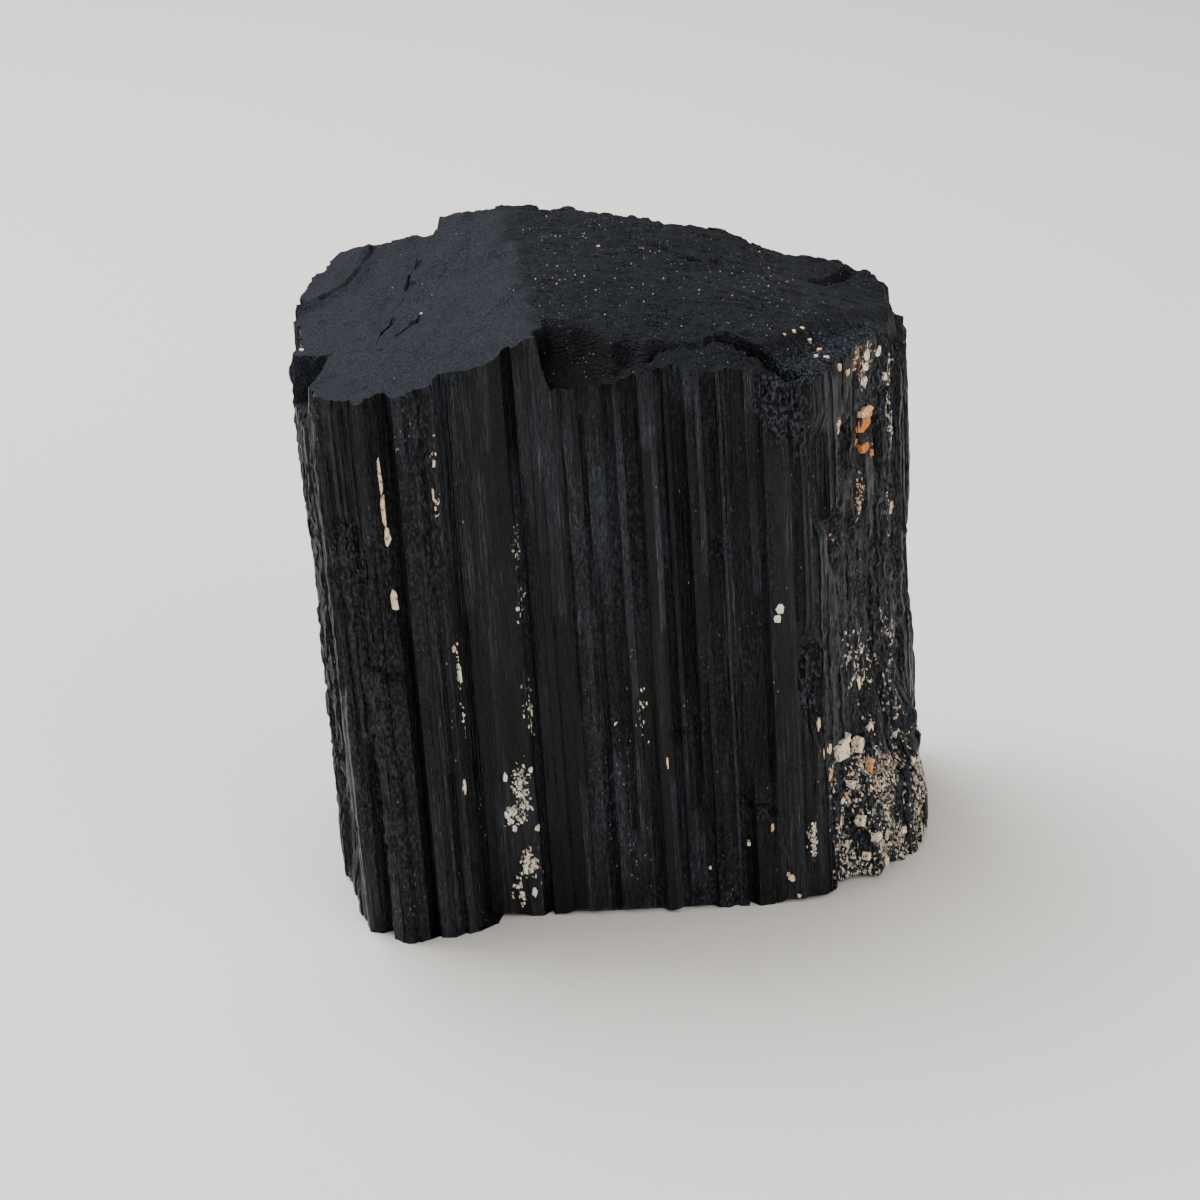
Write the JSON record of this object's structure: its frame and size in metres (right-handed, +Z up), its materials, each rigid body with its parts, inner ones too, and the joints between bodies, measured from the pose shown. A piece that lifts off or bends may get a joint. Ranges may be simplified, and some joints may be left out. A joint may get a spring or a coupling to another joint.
{
  "type": "tourmaline crystal",
  "caption": "Hand-sized block of black tourmaline with long striated faces, a broken top in ledges and a flat foot to stand on.",
  "frame": {"origin": "middle of the block's box on the surface that it stands on", "axes": "+Z up; the wide striated face that the picture shows looks towards -Y, with +X to its right"},
  "size_m": [0.0786, 0.055, 0.0743],
  "materials": {
    "black_tourmaline": null
  },
  "bodies": {
    "root": {"tourmaline_crystal": "black_tourmaline"}
  },
  "joints": []
}
